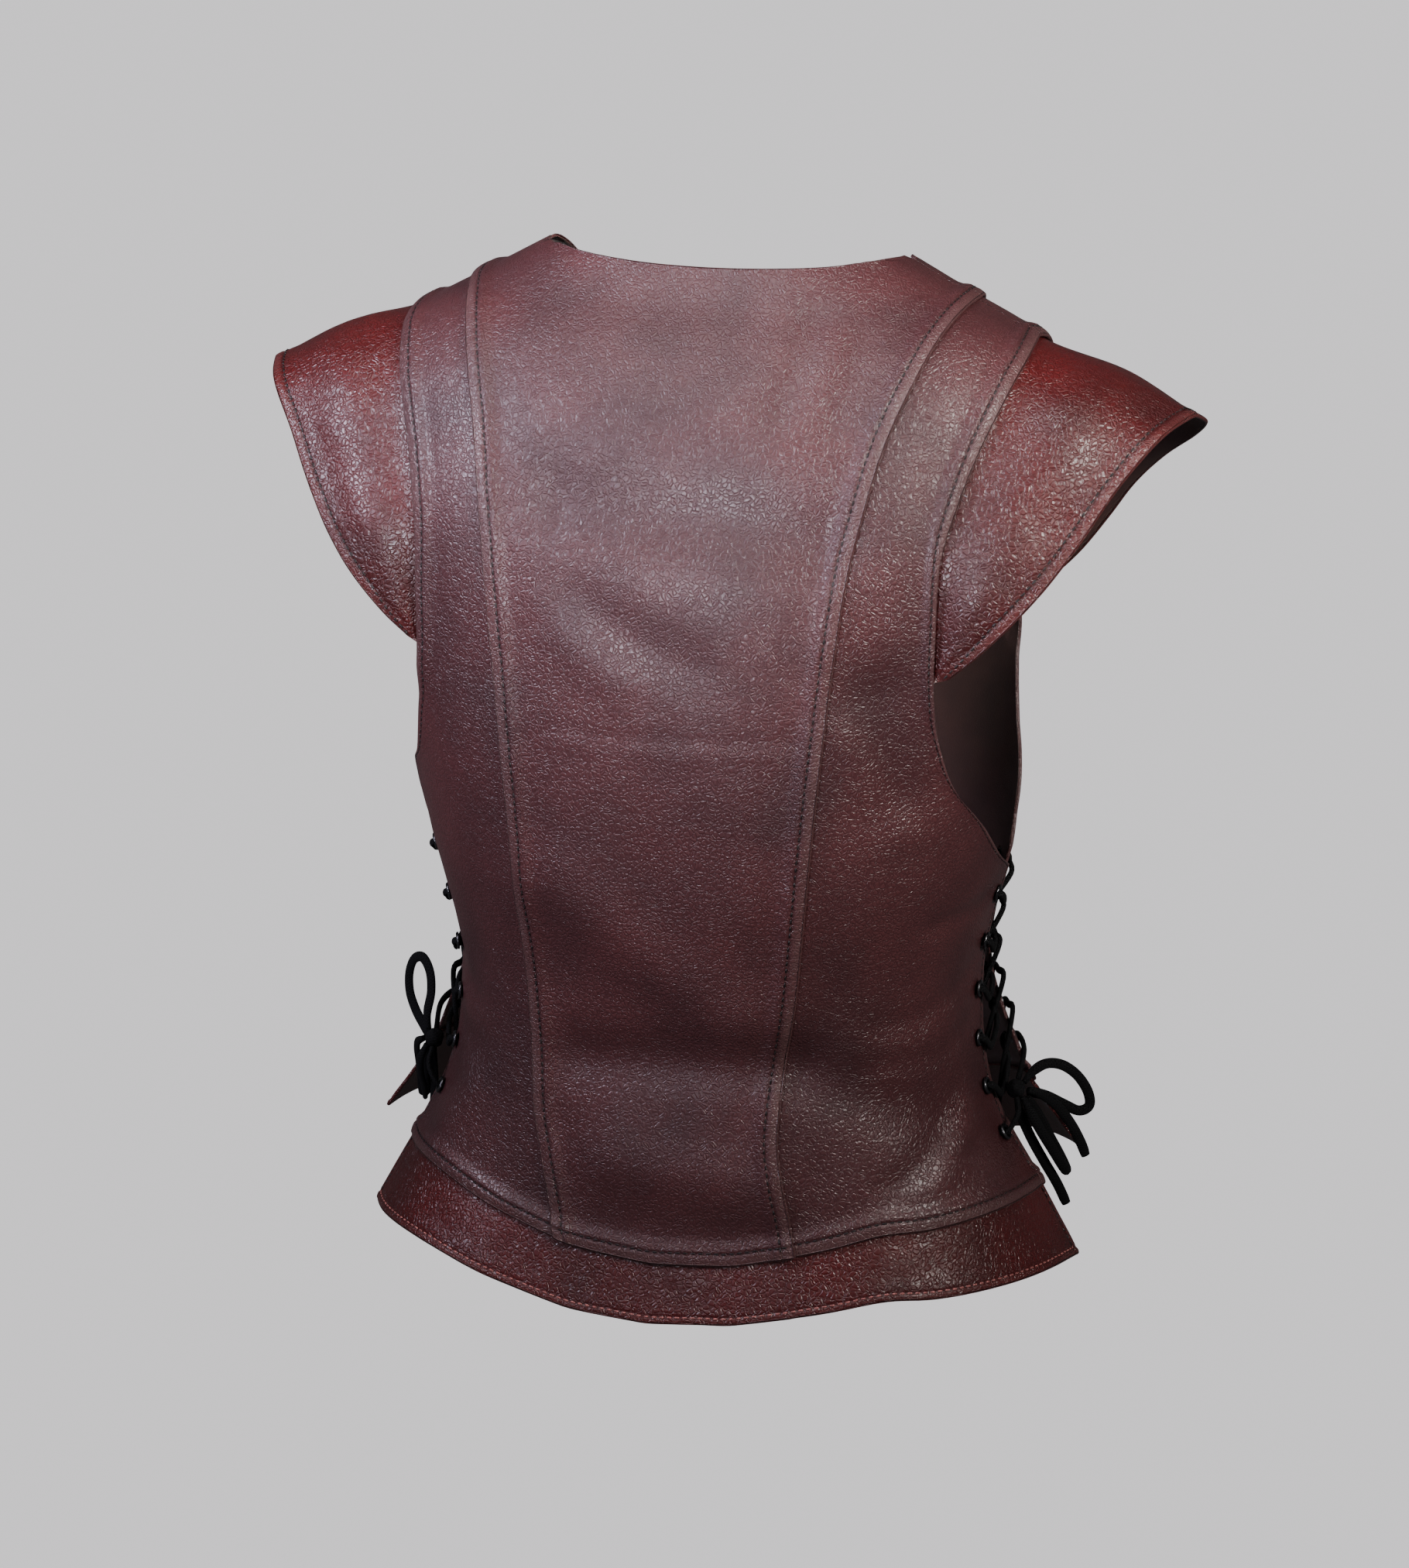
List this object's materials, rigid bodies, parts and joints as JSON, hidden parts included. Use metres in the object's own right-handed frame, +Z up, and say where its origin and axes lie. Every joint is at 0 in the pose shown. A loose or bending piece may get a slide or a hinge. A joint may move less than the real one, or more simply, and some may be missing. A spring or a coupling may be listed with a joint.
{
  "type": "doublet",
  "caption": "Sleeveless leather doublet in its worn form, with flaring shoulder wings, a flaring hem band and corded lacing down both sides.",
  "frame": {"origin": "middle of the neck base at shoulder height, where the wearer's shoulders carry the garment", "axes": "+Z up, -Y towards the wearer's front, +X towards the wearer's left"},
  "size_m": [0.4682, 0.2621, 0.5175],
  "materials": {
    "maroon_leather": "satin, fine grain",
    "red_leather": "semi-gloss, pebbled",
    "gunmetal": "dark gunmetal",
    "black_cord": "matte braid"
  },
  "bodies": {
    "root": {"back_centre": "maroon_leather", "back_side_left": "maroon_leather", "back_side_right": "maroon_leather", "front_centre": "maroon_leather", "front_side_left": "maroon_leather", "front_side_right": "maroon_leather", "wing_left": "red_leather", "wing_right": "red_leather", "hem_band_back": "red_leather", "hem_band_front": "red_leather", "eyelet_back_left_1": "gunmetal", "eyelet_back_left_2": "gunmetal", "eyelet_back_left_3": "gunmetal", "eyelet_back_left_4": "gunmetal", "eyelet_back_left_5": "gunmetal", "eyelet_back_left_6": "gunmetal", "eyelet_back_right_1": "gunmetal", "eyelet_back_right_2": "gunmetal", "eyelet_back_right_3": "gunmetal", "eyelet_back_right_4": "gunmetal", "eyelet_back_right_5": "gunmetal", "eyelet_back_right_6": "gunmetal", "eyelet_front_left_1": "gunmetal", "eyelet_front_left_2": "gunmetal", "eyelet_front_left_3": "gunmetal", "eyelet_front_left_4": "gunmetal", "eyelet_front_left_5": "gunmetal", "eyelet_front_left_6": "gunmetal", "eyelet_front_right_1": "gunmetal", "eyelet_front_right_2": "gunmetal", "eyelet_front_right_3": "gunmetal", "eyelet_front_right_4": "gunmetal", "eyelet_front_right_5": "gunmetal", "eyelet_front_right_6": "gunmetal", "lace_left": "black_cord", "lace_right": "black_cord", "bow_knot_left": "black_cord", "bow_knot_right": "black_cord", "bow_loop_high_left": "black_cord", "bow_loop_high_right": "black_cord", "bow_loop_low_left": "black_cord", "bow_loop_low_right": "black_cord", "bow_tail_short_left": "black_cord", "bow_tail_short_right": "black_cord", "bow_tail_long_left": "black_cord", "bow_tail_long_right": "black_cord"}
  },
  "joints": []
}
